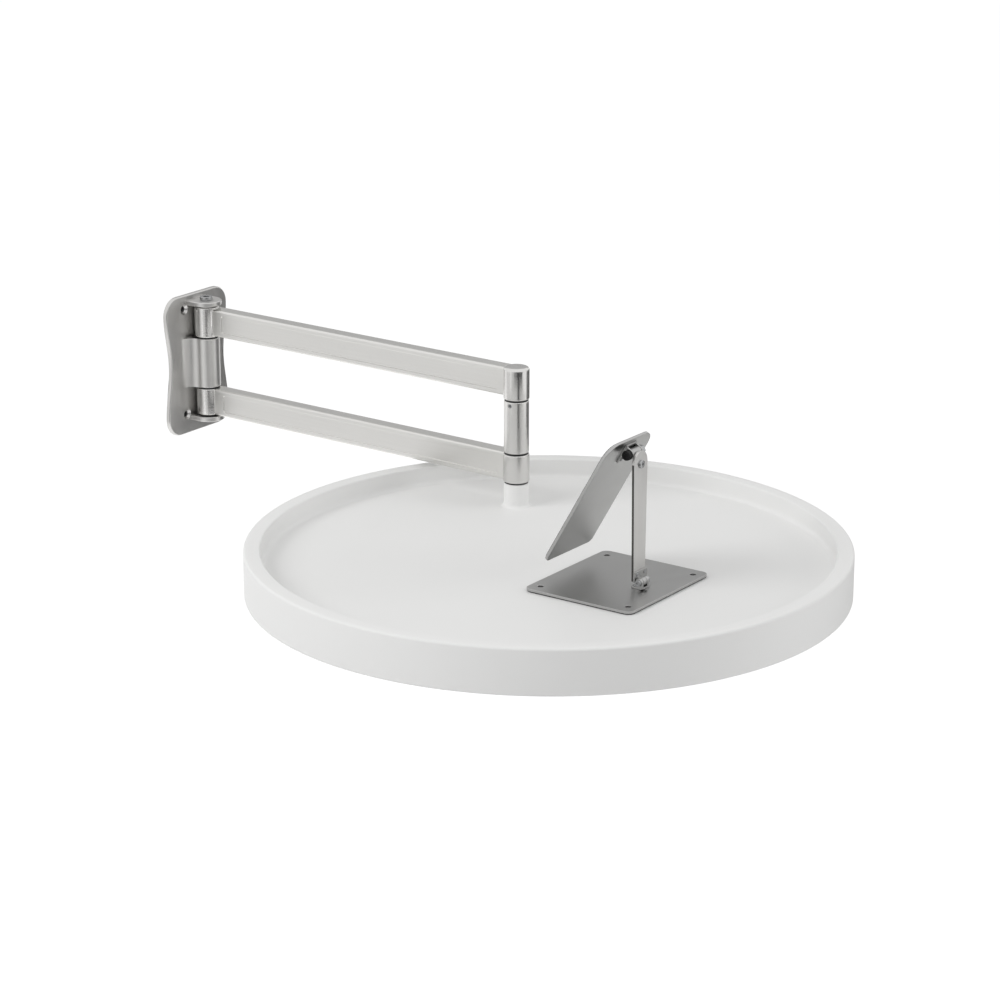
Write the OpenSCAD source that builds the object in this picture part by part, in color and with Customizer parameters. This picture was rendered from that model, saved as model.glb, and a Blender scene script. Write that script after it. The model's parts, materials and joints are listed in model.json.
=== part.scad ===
// Wall-mounted swivel table: a round tray on a pair of parallel arms, with a small tilting
// stand on it. Origin at the centre of the wall bolt pattern, on the wall. The wall is the
// plane y = 0, the room is towards -Y and +Z is up. All lengths are in millimetres.

/* [Wall bracket] */
// Width of the wall plate
plate_w = 78; // [76:1:100]
// Height of the wall plate
plate_h = 121; // [118:1:150]
// Thickness of the wall plate
plate_t = 3.5; // [3:0.5:8]
// How far the middle of the plate lies below the middle of the wall screws
plate_drop = 2.4; // [0:0.2:3]
// How far each long side draws in at the waist
plate_waist = 5; // [1:0.5:8]
// Radius of the plate's corners
plate_corner_r = 15; // [10:1:18]
// Rounding of the plate's front edge
plate_edge_r = 1.2; // [0.5:0.1:1.8]
// Distance between the wall screws, side to side
bolt_dx = 32; // [32:1:44]
// Distance between the wall screws, up and down
bolt_dz = 92; // [86:1:94]
// Diameter of the wall screw holes
bolt_d = 5; // [4.5:0.5:7]
// Diameter of the countersinks round the wall screws
bolt_csk_d = 9; // [8.6:0.1:10.2]
// Radius of the lugs that hold the hinge pin
lug_r = 13; // [11:0.5:13.4]
// Thickness of the lugs
lug_t = 4; // [3.5:0.5:6]
// Radius of the flare from the middle knuckle into the plate
flare_r = 10.6; // [6:0.2:12]

/* [Arms] */
// Distance from hinge pin to outer shaft
arm_len = 328; // [260:2:400]
// Height of each bar
bar_h = 23; // [20:0.5:26]
// Thickness of each bar
bar_t = 13.4; // [12:0.2:16]
// How far the bars lie to one side of the line between the pivots
bar_side = 2.6; // [0:0.2:2.8]
// Rounding of the bars' long edges
bar_edge_r = 1.6; // [0.8:0.1:2.4]
// Diameter of the knuckles at both ends of a bar
knuckle_d = 21; // [20:0.5:22]
// How far the upper arm's knuckles stand above and below its bar
knuckle_over = 1.5; // [0.5:0.25:3]
// Rounding of the knuckles' rims
knuckle_edge_r = 1; // [0.5:0.1:1.4]
// Rounding of the closed top of the upper outer knuckle
knuckle_dome_r = 2.6; // [1:0.2:3.6]
// Height of the sunk panel on the side of a bar
panel_h = 14.6; // [10:0.2:16]
// Depth of the sunk panel
panel_depth = 0.8; // [0.4:0.1:1.2]
// Corner radius of the sunk panel
panel_corner_r = 1.6; // [0.6:0.2:3]
// Distance from the hinge pin to the panel
panel_start = 20; // [16:1:40]
// Distance from the outer shaft to the panel
panel_end = 16; // [14:1:40]
// Clear height between the two knuckles on one axis
pair_gap = 45.2; // [36:0.2:54]
// Height of the middle between the arms, from the middle of the wall screws
arms_level = -0.5; // [-2:0.1:0]

/* [Pivots] */
// Diameter of the hinge pin at the wall
pin_d = 8; // [6:0.5:9]
// Diameter of the hinge pin's head
pin_head_d = 11; // [10:0.5:13]
// Height of the hinge pin's head
pin_head_h = 3; // [2.5:0.25:4]
// Diameter of the hinge pin's retaining ring
clip_d = 12; // [10.5:0.5:14]
// Thickness of the hinge pin's retaining ring
clip_t = 1; // [0.8:0.1:1.4]
// Diameter of the outer shaft
shaft_d = 12; // [10:0.5:12.5]
// Wall of the bushes in the knuckles
bush_wall = 1.8; // [1:0.1:2.2]
// Thickness of the washers between the knuckles
washer_t = 1; // [0.8:0.1:1.6]
// How far a washer stays inside the knuckle's rim
washer_inset = 0.9; // [0.3:0.1:1.5]
// Radial running clearance on pin and shaft
run_gap = 0.05; // [0.02:0.01:0.09]
// Clearance over and under a turning face
face_gap = 0.1; // [0.05:0.01:0.2]
// Diameter of the collar between the outer knuckles
collar_d = 20.2; // [18:0.2:20.4]
// Diameter of the collar's set screw
set_screw_d = 3.5; // [3:0.5:4]
// Distance of the set screw below the collar's top
set_screw_drop = 3.1; // [3.1:0.1:12]

/* [Tray] */
// Outer diameter of the tray
tray_d = 460; // [430:5:500]
// Height of the tray's side
tray_h = 35.5; // [35:0.5:45]
// Width of the rim's top
rim_w = 13; // [11:0.5:20]
// Depth of the tray's recess
recess = 15.5; // [12:0.5:16]
// Thickness of the tray's walls
tray_wall = 3.5; // [2.5:0.25:4]
// Radius where the recess's side meets its floor
cove_r = 4; // [2:0.5:8]
// Rounding of the rim's outer edge
rim_outer_r = 2.2; // [1:0.2:3]
// Rounding of the rim's inner edge
rim_inner_r = 1.5; // [0.8:0.1:2.5]
// Rounding of the tray's lower edge
skirt_edge_r = 1.5; // [0.5:0.1:1.9]
// Clearance between the lower knuckle and the rim's top
rim_clear = 5.1; // [2.6:0.1:6]
// Distance from the outer shaft to the tray's middle
tray_reach = 143; // [120:1:150]
// Diameter of the boss round the shaft
boss_d = 20; // [18:1:34]
// Diameter of the moulded seat under the floor
seat_d = 86; // [84:1:92]
// Depth of the moulded seat under the floor
seat_t = 5.5; // [4:0.5:6]
// Diameter of the shaft's flange
flange_d = 78; // [70:1:80]
// Thickness of the shaft's flange
flange_t = 4; // [3:0.5:5]
// Number of radial ribs under the floor
rib_count = 12; // [6:1:16]
// Thickness of the ribs
rib_t = 2.4; // [1.6:0.2:3]
// Depth of the ribs
rib_h = 9; // [6:0.5:11]
// Radius of the inner ring rib
ring_rib_r = 60; // [50:1:70]
// Thickness of the cover under the tray
cover_t = 3; // [2:0.25:3.5]
// Number of screws that hold the cover
cover_screws = 8; // [4:1:10]
// Distance of the cover screws from the tray's outer edge
cover_screw_in = 27; // [24:1:31]

/* [Stand] */
// Width of the stand's base plate
base_w = 108; // [102:1:130]
// Depth of the stand's base plate
base_l = 94; // [90:1:120]
// Thickness of the stand's base plate
base_t = 2; // [1.5:0.25:3]
// Thickness of the pad under the base plate
base_pad_t = 0.8; // [0.5:0.1:1.5]
// Corner radius of the base plate
base_corner_r = 6; // [3:0.5:10]
// Distance of the base plate's holes from its sides
base_hole_side = 10; // [8:0.5:14]
// Distance of the base plate's holes from its front and back
base_hole_front = 8.5; // [8:0.5:14]
// Diameter of the base plate's holes
base_hole_d = 4.5; // [3.5:0.5:5.5]
// Length of the strap from its lower end to its rounded top
strap_len = 98.8; // [90:0.2:120]
// Width of the strap at its top
strap_top_w = 18; // [17:0.5:20]
// Width of the strap at its foot
strap_foot_w = 15.4; // [14:0.2:17]
// Thickness of the strap
strap_t = 2; // [1.5:0.1:2.4]
// Width of the hinge at the strap's foot
hinge_w = 17.6; // [17:0.1:18]
// Radius of the knuckles of the foot hinge
foot_knuckle_r = 3; // [2.8:0.05:3.1]
// Diameter of the foot hinge's screw
foot_pin_d = 3; // [2.5:0.1:3.2]
// Diameter of the top hinge's screw
top_pin_d = 4; // [3:0.1:4.2]
// Radius of the barrel of the top hinge
top_barrel_r = 3.8; // [3.6:0.05:3.8]
// Width of the barrel of the top hinge
top_barrel_w = 10; // [8:0.5:11]
// Thickness of the folded ears of the top hinge
ear_t = 1.6; // [1.2:0.1:2]
// Width of the holder plate
holder_w = 60; // [50:1:80]
// Length of the holder plate
holder_l = 112.2; // [100:0.2:114]
// Thickness of the holder plate
holder_t = 2.4; // [2.2:0.1:3]
// Radius of the holder's upper corners
holder_top_r = 13; // [8:0.5:16]
// Radius of the holder's lower corners
holder_foot_r = 4; // [2:0.5:8]
// Thickness of the grip pad on the holder
grip_t = 1; // [0.6:0.1:1.5]
// How far the grip pad stays inside the holder's edge
grip_inset = 2; // [1.5:0.25:4]
// Diameter of the magnets in the holder
magnet_d = 14; // [8:0.5:16]
// Thickness of the magnets in the holder
magnet_t = 1.5; // [1:0.1:1.6]

/* [Pose] */
// Turn of the arms from square to the wall
arm_turn = 1.4; // [-10:0.2:10]
// Turn of the tray's middle from straight out
tray_turn = 45; // [30:1:60]
// Tilt of the holder from level
holder_angle = 60; // [55:0.5:61]
// Place of the stand from the tray's middle, side to side
stand_x = -11.5; // [-30:0.5:10]
// Place of the stand from the tray's middle, front to back
stand_y = -70; // [-80:0.5:-60]

/* [Hidden] */

// Colours, as the finishes look
alu_colour = "#c3c1bd";
steel_colour = "#8d8f91";
bright_colour = "#d0d0cd";
black_colour = "#18181a";
white_colour = "#f0f0ee";
bush_colour = "#b08d57";
magnet_colour = "#b7b9bb";

// Fineness of round things
round_fn = 64;
small_fn = 32;
tray_fn = 180;
arc_steps = 8;
side_steps = 24;

// Overrun of a cut past the face that it opens
cut = 1;
// Clearance of a piece that is pressed or slid into its seat
seat_gap = 0.02;
// Clearance of a screw in a through hole, and of a piece that drops into a pocket
slip_gap = 0.15;

// Wall bracket: places that follow from the sizes above
knuckle_r = knuckle_d / 2;
plate_clear = 0.5;
hinge_out = plate_t + plate_clear + knuckle_r;
lug_edge = 0.6;
washer_space = washer_t + 2 * face_gap;
upper_h = bar_h + 2 * knuckle_over;
lower_h = bar_h;
upper_z = arms_level + pair_gap / 2;
lower_z = arms_level - pair_gap / 2 - lower_h;
block_h = pair_gap - 2 * washer_space;
top_lug_z = upper_z + upper_h + washer_space;
low_lug_z = lower_z - washer_space - lug_t;
lugs_h = top_lug_z + lug_t - low_lug_z;
csk_depth = (bolt_csk_d - bolt_d) / 2;

// Pivots
pin_tail = 1;
clip_groove = 0.5;
pin_hex_af = 5;
pin_hex_depth = 1.8;
pin_edge = 0.5;
shaft_top_wall = 4;
shaft_top_gap = 0.6;
bush_edge = 0.4;
outer_bush_h = upper_h - shaft_top_wall - shaft_top_gap - bush_edge;
collar_h = block_h;
collar_z = arms_level - collar_h / 2;
set_screw_turn = 184;
set_screw_sink = 0.3;
set_screw_hex_af = 2;
set_screw_hex_depth = 1.5;
washer_d = knuckle_d - 2 * washer_inset;

// The outer shaft, as seen from above
outer_x = -arm_len * sin(arm_turn);
outer_y = -hinge_out - arm_len * cos(arm_turn);

// Tray
tray_r = tray_d / 2;
recess_r = tray_r - rim_w;
tray_z = lower_z - rim_clear;
tray_x = outer_x - tray_reach * sin(tray_turn);
tray_y = outer_y - tray_reach * cos(tray_turn);
pivot_x = tray_reach * sin(tray_turn);
pivot_y = tray_reach * cos(tray_turn);
boss_top = rim_clear - washer_space;
boss_edge = 1;
boss_fillet_r = 3;
floor_under = -recess - tray_wall;
seat_under = floor_under - seat_t;
flange_under = seat_under - flange_t;
flange_screw_count = 4;
flange_screw_d = 4.2;
flange_screw_in = 9;
flange_screw_r = flange_d / 2 - flange_screw_in;
flange_screw_depth = 6;
flange_screw_head_d = 8;
flange_screw_head_h = 2.2;
flange_room = 3;
cover_gap = 0.4;
cover_z = -tray_h;
cover_r = tray_r - tray_wall - cover_gap;
cover_screw_r = tray_r - cover_screw_in;
cover_post_d = 9;
cover_post_bottom = cover_z + cover_t;
cover_post_h = floor_under - cover_post_bottom;
cover_screw_d = 3;
cover_screw_head_d = 5.6;
cover_screw_depth = 9;
cover_hex_af = 2.5;
cover_hex_depth = 0.8;

// Stand, in a frame with its origin on top of the base plate, at the plate's middle
stand_z = tray_z - recess + base_pad_t + base_t;
pad_inset = 0.6;
base_hole_dx = base_w - 2 * base_hole_side;
base_hole_dy = base_l - 2 * base_hole_front;
rivet_d = 2.5;
rivet_head_d = 4;
rivet_head_h = 0.9;
rivet_tail_h = 0.6;

// Hinge at the strap's foot
leaf_t = 1.5;
leaf_lift = 0.5;
leaf_face_gap = 0.6;
foot_axis_y = -24.5;
foot_axis_z = leaf_t + leaf_lift + foot_knuckle_r;
foot_strip_front = -21.9;
foot_leaf_back = -17.3;
foot_leaf_corner_r = 2;
foot_leaf_side = 0.3;
foot_rivet_y = -19.6;
foot_rivet_x = 5.2;
foot_ear_w = 2.4;
ear_side_gap = 0.3;
strap_knuckle_w = 4.3;
foot_left_x = -hinge_w / 2;
strap_knuckle_x = foot_left_x + foot_ear_w + ear_side_gap;
right_ear_x = strap_knuckle_x + strap_knuckle_w + ear_side_gap;
foot_right_x = right_ear_x + foot_ear_w;
foot_head_d = 4.8;
foot_head_h = 1.6;
foot_head_hex_af = 2;
foot_nut_af = 5;
foot_nut_h = 1.8;
pin_end = 0.8;

// Strap and its hinge leaf
strap_front_y = foot_axis_y + foot_knuckle_r + leaf_face_gap + leaf_t;
strap_back_y = strap_front_y + strap_t;
strap_foot_down = 0.4;
strap_foot_z = foot_axis_z - strap_foot_down;
strap_top_z = strap_foot_z + strap_len;
strap_leaf_down = 0.8;
strap_leaf_up = 7.3;
strap_leaf_side = 0.3;
strap_rivet_up = 4.9;
strap_rivet_x = 5;
strap_rivet_head_d = 3.2;
strap_rivet_head_h = 0.4;
neck_down = 0.8;

// Screw, nut and barrel behind the strap's top
strap_screw_drop = 10;
strap_screw_z = strap_top_z - strap_screw_drop;
strap_screw_d = 3;
strap_screw_head_d = 6.4;
strap_screw_head_h = 1.7;
strap_screw_hex_af = 2;
strap_screw_hex_depth = 1;
strap_nut_af = 5.5;
strap_nut_h = 2.4;
barrel_plate_t = 1.6;
barrel_plate_w = 9.6;
barrel_plate_down = 6;
barrel_neck_down = 3;
top_axis_back = 4.3;
top_axis_drop = 2.4;
top_axis_y = strap_back_y + top_axis_back;
top_axis_z = strap_top_z - top_axis_drop;

// Holder, in a frame on the top hinge's axis: +Z up along the plate, +Y out of its face
holder_off = 5.7;
holder_over = 8.4;
holder_foot = holder_over - holder_l;
holder_face = holder_off + holder_t;
ear_r = 4;
ear_gap = 0.2;
ear_x = top_barrel_w / 2 + ear_gap;
clevis_w = 2 * (ear_x + ear_t);
clevis_down = 12;
clevis_up = 5;
clevis_rivet_z = -8.5;
clevis_rivet_x = 3.6;
top_head_d = 7;
top_head_h = 4;
top_head_hex_af = 3;
top_nut_af = 7;
top_nut_h = 3.2;
head_hex_depth_share = 0.5;
magnet_side = 13;
magnet_x = holder_w / 2 - magnet_side;
magnet_top_z = -26;
magnet_up = 23.8;
magnet_foot_z = holder_foot + magnet_up;
pocket_gap = 0.05;

// Points of an arc round the middle c, from angle a0 to a1
function arc(c, r, a0, a1, n = arc_steps) =
    [for (i = [0:n]) let (a = a0 + (a1 - a0) * i / n) [c[0] + r * cos(a), c[1] + r * sin(a)]];

// Rectangle with rounded corners, middle at the origin
function round_rect(w, h, r) = concat(
    arc([w / 2 - r, h / 2 - r], r, 0, 90),
    arc([-w / 2 + r, h / 2 - r], r, 90, 180),
    arc([-w / 2 + r, -h / 2 + r], r, 180, 270),
    arc([w / 2 - r, -h / 2 + r], r, 270, 360));

// Half section of a turned piece with rounded lower and upper rims
function rim_section(r, h, low_r, top_r) = concat(
    [[0, 0]],
    arc([r - low_r, low_r], low_r, -90, 0),
    arc([r - top_r, h - top_r], top_r, 0, 90),
    [[0, h]]);

// Waisted outline of the wall plate, drawn in by an inset all round
function side_x(z, zc, inset) = plate_w / 2 - inset - plate_waist * (1 + cos(180 * z / zc)) / 2;
function plate_outline(inset) =
    let (zc = plate_h / 2 - plate_corner_r, xc = plate_w / 2 - plate_corner_r, r = plate_corner_r - inset)
    concat(
        arc([xc, zc], r, 90, 0),
        [for (i = [1:side_steps - 1]) let (z = zc - 2 * zc * i / side_steps) [side_x(z, zc, inset), z]],
        arc([xc, -zc], r, 0, -90),
        arc([-xc, -zc], r, -90, -180),
        [for (i = [1:side_steps - 1]) let (z = -zc + 2 * zc * i / side_steps) [-side_x(z, zc, inset), z]],
        arc([-xc, zc], r, 180, 90));

// Closed skin through rings of points that have the same count
module loft(rings) {
    n = len(rings[0]);
    m = len(rings);
    sides = [for (j = [0:m - 2], i = [0:n - 1]) let (k = (i + 1) % n)
        each [[j * n + i, j * n + k, (j + 1) * n + k], [j * n + i, (j + 1) * n + k, (j + 1) * n + i]]];
    first = [[for (i = [n - 1:-1:0]) i]];
    last = [[for (i = [0:n - 1]) (m - 1) * n + i]];
    polyhedron(points = [for (ring = rings) each ring], faces = concat(first, sides, last));
}

module turned(r, h, low_r, top_r, fn = round_fn) {
    rotate_extrude($fn = fn)
        polygon(rim_section(r, h, low_r, top_r));
}

module ring(outer_r, inner_r, h, fn = round_fn) {
    difference() {
        cylinder(r = outer_r, h = h, $fn = fn);
        translate([0, 0, -cut])
            cylinder(r = inner_r, h = h + 2 * cut, $fn = fn);
    }
}

module hexagon(af, h) {
    cylinder(d = af / cos(30), h = h, $fn = 6);
}

// A cylinder along X that starts at x0
module x_rod(x0, x1, r, fn = small_fn) {
    translate([x0, 0, 0])
        rotate([0, 90, 0])
            cylinder(r = r, h = x1 - x0, $fn = fn);
}

// A cylinder along -Y that starts at y0
module y_rod(y0, len, r, fn = small_fn) {
    translate([0, y0, 0])
        rotate([90, 0, 0])
            cylinder(r = r, h = len, $fn = fn);
}

// A block given by its lowest and highest corners
module block(low, high) {
    translate(low)
        cube(high - low);
}

module at_hinge() {
    translate([0, -hinge_out, 0])
        children();
}

module at_arm() {
    at_hinge()
        rotate([0, 0, -arm_turn])
            children();
}

module at_shaft() {
    translate([outer_x, outer_y, 0])
        children();
}

module at_tray() {
    translate([tray_x, tray_y, tray_z])
        children();
}

module at_stand() {
    translate([tray_x + stand_x, tray_y + stand_y, stand_z])
        children();
}

module at_holder() {
    at_stand()
        translate([0, top_axis_y, top_axis_z])
            rotate([90 - holder_angle, 0, 0])
                children();
}

// Lug for the hinge pin, from the pin back into the plate
module lug_layer(inset, h) {
    linear_extrude(height = h)
        hull() {
            circle(r = lug_r - inset, $fn = small_fn);
            translate([-lug_r + inset, 0])
                square([2 * (lug_r - inset), hinge_out - plate_t / 2]);
        }
}

module lug() {
    hull() {
        lug_layer(lug_edge, lug_t);
        translate([0, 0, lug_edge])
            lug_layer(0, lug_t - 2 * lug_edge);
    }
}

// Middle knuckle with its flare into the plate
module middle_knuckle() {
    back = hinge_out - plate_t;
    flare_x = sqrt(pow(knuckle_r + flare_r, 2) - pow(back - flare_r, 2));
    meet = atan2(flare_r - back, flare_x);
    left = arc([-flare_x, back - flare_r], flare_r, 90, meet);
    right = [for (i = [len(left) - 1:-1:0]) [-left[i][0], left[i][1]]];
    turned(knuckle_r, block_h, knuckle_edge_r, knuckle_edge_r);
    linear_extrude(height = block_h)
        polygon(concat([[-flare_x, hinge_out - plate_t / 2]], left, right,
            [[flare_x, hinge_out - plate_t / 2]]));
}

module wall_plate_body() {
    front = -plate_t;
    rounding = [for (i = [0:arc_steps / 2]) let (a = 90 * i / (arc_steps / 2))
        [plate_edge_r * (1 - sin(90 - a)), front + plate_edge_r * (1 - sin(a))]];
    steps = concat([[0, 0]], rounding);
    translate([0, 0, -plate_drop])
        loft([for (s = steps) [for (p = plate_outline(s[0])) [p[0], s[1], p[1]]]]);
}

module wall_bracket() {
    color(alu_colour)
        difference() {
            union() {
                wall_plate_body();
                at_hinge() {
                    translate([0, 0, top_lug_z])
                        lug();
                    translate([0, 0, low_lug_z])
                        lug();
                    translate([0, 0, arms_level - block_h / 2])
                        middle_knuckle();
                }
            }
            at_hinge()
                translate([0, 0, low_lug_z - cut])
                    cylinder(r = pin_d / 2 + seat_gap, h = lugs_h + 2 * cut, $fn = round_fn);
            for (x = [-bolt_dx / 2, bolt_dx / 2], z = [-bolt_dz / 2, bolt_dz / 2])
                translate([x, 0, z])
                    wall_screw_hole();
        }
}

module wall_screw_hole() {
    rotate([90, 0, 0]) {
        translate([0, 0, -cut])
            cylinder(d = bolt_d, h = plate_t + 2 * cut, $fn = small_fn);
        translate([0, 0, plate_t - csk_depth])
            cylinder(d1 = bolt_d, d2 = bolt_csk_d, h = csk_depth, $fn = small_fn);
        translate([0, 0, plate_t])
            cylinder(d = bolt_csk_d, h = cut, $fn = small_fn);
    }
}

module wall_pin() {
    head_z = top_lug_z + lug_t;
    groove_z = low_lug_z - face_gap - clip_t - seat_gap;
    foot_z = groove_z - pin_tail;
    color(bright_colour)
        at_hinge()
            difference() {
                union() {
                    translate([0, 0, head_z])
                        turned(pin_head_d / 2, pin_head_h, pin_edge, pin_edge);
                    translate([0, 0, foot_z])
                        turned(pin_d / 2, head_z - foot_z + pin_head_h / 2, pin_edge, pin_edge);
                }
                translate([0, 0, head_z + pin_head_h - pin_hex_depth])
                    hexagon(pin_hex_af, pin_hex_depth + cut);
                translate([0, 0, groove_z])
                    ring(pin_d / 2 + cut, pin_d / 2 - clip_groove, clip_t + 2 * seat_gap);
            }
}

module wall_pin_clip() {
    color(black_colour)
        at_hinge()
            translate([0, 0, low_lug_z - face_gap - clip_t])
                ring(clip_d / 2, pin_d / 2 - clip_groove + seat_gap, clip_t);
}

module wall_pivot_washers() {
    middle = block_h / 2 + face_gap;
    color(black_colour)
        at_hinge()
            for (z = [top_lug_z - face_gap - washer_t, arms_level + middle,
                    arms_level - middle - washer_t, low_lug_z + lug_t + face_gap])
                translate([0, 0, z])
                    ring(washer_d / 2, pin_d / 2 + slip_gap, washer_t);
}

// Bar from the hinge pin to the outer shaft, with its two knuckles, before it is bored
module bar_body(h, dome_r) {
    translate([bar_side, 0, h / 2])
        difference() {
            rotate([90, 0, 0])
                linear_extrude(height = arm_len)
                    polygon(round_rect(bar_t, bar_h, bar_edge_r));
            bar_panel();
            mirror([1, 0, 0])
                bar_panel();
        }
    turned(knuckle_r, h, knuckle_edge_r, knuckle_edge_r);
    translate([0, -arm_len, 0])
        turned(knuckle_r, h, knuckle_edge_r, dome_r);
}

// Sunk panel in the +X side of a bar
module bar_panel() {
    length = arm_len - panel_start - panel_end;
    translate([bar_t / 2 - panel_depth, -panel_start - length / 2, 0])
        rotate([90, 0, 90])
            linear_extrude(height = panel_depth + cut)
                polygon(round_rect(length, panel_h, panel_corner_r));
}

module wall_end_bore(h) {
    translate([0, 0, -cut])
        cylinder(r = pin_d / 2 + run_gap + bush_wall + seat_gap, h = h + 2 * cut, $fn = round_fn);
}

module outer_end_bore(h) {
    translate([0, -arm_len, -cut])
        cylinder(r = shaft_d / 2 + run_gap + bush_wall + seat_gap, h = h + cut, $fn = round_fn);
}

module upper_arm() {
    color(alu_colour)
        at_arm()
            translate([0, 0, upper_z])
                difference() {
                    bar_body(upper_h, knuckle_dome_r);
                    wall_end_bore(upper_h);
                    outer_end_bore(upper_h - shaft_top_wall);
                }
}

module lower_arm() {
    color(alu_colour)
        at_arm()
            translate([0, 0, lower_z])
                difference() {
                    bar_body(lower_h, knuckle_edge_r);
                    wall_end_bore(lower_h);
                    outer_end_bore(lower_h + cut);
                }
}

module wall_end_bushes() {
    color(bush_colour)
        at_hinge()
            for (place = [[upper_z, upper_h], [lower_z, lower_h]])
                translate([0, 0, place[0] + bush_edge])
                    ring(pin_d / 2 + run_gap + bush_wall, pin_d / 2 + run_gap, place[1] - 2 * bush_edge);
}

module outer_end_bushes() {
    inner_r = shaft_d / 2 + run_gap;
    color(bush_colour)
        at_shaft() {
            translate([0, 0, upper_z + bush_edge])
                ring(inner_r + bush_wall, inner_r, outer_bush_h - bush_edge);
            translate([0, 0, lower_z + bush_edge])
                ring(inner_r + bush_wall, inner_r, lower_h - 2 * bush_edge);
        }
}

module pivot_shaft() {
    low_z = tray_z + flange_under;
    top_z = upper_z + upper_h - shaft_top_wall - shaft_top_gap;
    color(steel_colour)
        at_shaft()
            difference() {
                union() {
                    translate([0, 0, low_z])
                        turned(shaft_d / 2, top_z - low_z, 0, pin_edge);
                    translate([0, 0, low_z])
                        turned(flange_d / 2, flange_t, pin_edge, pin_edge);
                }
                for (i = [0:flange_screw_count - 1])
                    rotate([0, 0, (i + 0.5) * 360 / flange_screw_count])
                        translate([flange_screw_r, 0, low_z - cut])
                            cylinder(r = flange_screw_d / 2 + slip_gap, h = flange_t + 2 * cut,
                                $fn = small_fn);
            }
}

module flange_screws() {
    shank = flange_t + flange_screw_depth;
    color(steel_colour)
        at_shaft()
            for (i = [0:flange_screw_count - 1])
                rotate([0, 0, (i + 0.5) * 360 / flange_screw_count])
                    translate([flange_screw_r, 0, tray_z + flange_under - flange_screw_head_h]) {
                        turned(flange_screw_head_d / 2, flange_screw_head_h, pin_edge, 0, small_fn);
                        translate([0, 0, flange_screw_head_h / 2])
                            cylinder(d = flange_screw_d, h = shank + flange_screw_head_h / 2, $fn = small_fn);
                    }
}

module shaft_collar() {
    color(bright_colour)
        at_shaft()
            difference() {
                translate([0, 0, collar_z])
                    turned(collar_d / 2, collar_h, knuckle_edge_r, knuckle_edge_r);
                translate([0, 0, collar_z - cut])
                    cylinder(r = shaft_d / 2 + seat_gap, h = collar_h + 2 * cut, $fn = round_fn);
                translate([0, 0, collar_z + collar_h - set_screw_drop])
                    rotate([0, 0, set_screw_turn])
                        x_rod(0, collar_d, set_screw_d / 2 + seat_gap);
            }
}

module collar_set_screw() {
    outer = collar_d / 2 - set_screw_sink;
    color(steel_colour)
        at_shaft()
            translate([0, 0, collar_z + collar_h - set_screw_drop])
                rotate([0, 0, set_screw_turn])
                    difference() {
                        x_rod(shaft_d / 2 + seat_gap, outer, set_screw_d / 2);
                        translate([outer - set_screw_hex_depth, 0, 0])
                            rotate([0, 90, 0])
                                hexagon(set_screw_hex_af, set_screw_hex_depth + cut);
                    }
}

module outer_pivot_washers() {
    middle = collar_h / 2 + face_gap;
    color(black_colour)
        at_shaft()
            for (z = [arms_level + middle, arms_level - middle - washer_t, lower_z - face_gap - washer_t])
                translate([0, 0, z])
                    ring(washer_d / 2, shaft_d / 2 + slip_gap, washer_t);
}

// Half section of the tray: recess, hollow rim and skirt
function tray_section() = concat(
    [[0, floor_under], [0, -recess]],
    arc([recess_r - cove_r, -recess + cove_r], cove_r, -90, 0),
    arc([recess_r + rim_inner_r, -rim_inner_r], rim_inner_r, 180, 90),
    arc([tray_r - rim_outer_r, -rim_outer_r], rim_outer_r, 90, 0),
    arc([tray_r - skirt_edge_r, -tray_h + skirt_edge_r], skirt_edge_r, 0, -90),
    [[tray_r - tray_wall, -tray_h], [tray_r - tray_wall, -tray_wall],
        [recess_r + tray_wall, -tray_wall], [recess_r + tray_wall, floor_under]]);

// Boss round the shaft, with a fillet onto the floor
module shaft_boss() {
    boss_r = boss_d / 2;
    rotate_extrude($fn = round_fn)
        polygon(concat([[0, floor_under]], [[boss_r + boss_fillet_r, floor_under]],
            arc([boss_r + boss_fillet_r, -recess + boss_fillet_r], boss_fillet_r, 270, 180),
            arc([boss_r - boss_edge, boss_top - boss_edge], boss_edge, 0, 90),
            [[0, boss_top]]));
}

module floor_ribs() {
    translate([0, 0, floor_under - rib_h])
        difference() {
            union() {
                for (i = [0:rib_count - 1])
                    rotate([0, 0, i * 360 / rib_count])
                        translate([ring_rib_r, -rib_t / 2, 0])
                            cube([recess_r + tray_wall / 2 - ring_rib_r, rib_t, rib_h + tray_wall / 2]);
                ring(ring_rib_r + rib_t / 2, ring_rib_r - rib_t / 2, rib_h + tray_wall / 2);
            }
            translate([pivot_x, pivot_y, -cut])
                cylinder(r = flange_d / 2 + flange_room, h = rib_h - seat_t + cut, $fn = round_fn);
        }
}

module cover_posts() {
    for (i = [0:cover_screws - 1])
        rotate([0, 0, (i + 0.5) * 360 / cover_screws])
            translate([cover_screw_r, 0, cover_post_bottom])
                cylinder(d = cover_post_d, h = cover_post_h + tray_wall / 2, $fn = small_fn);
}

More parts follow.
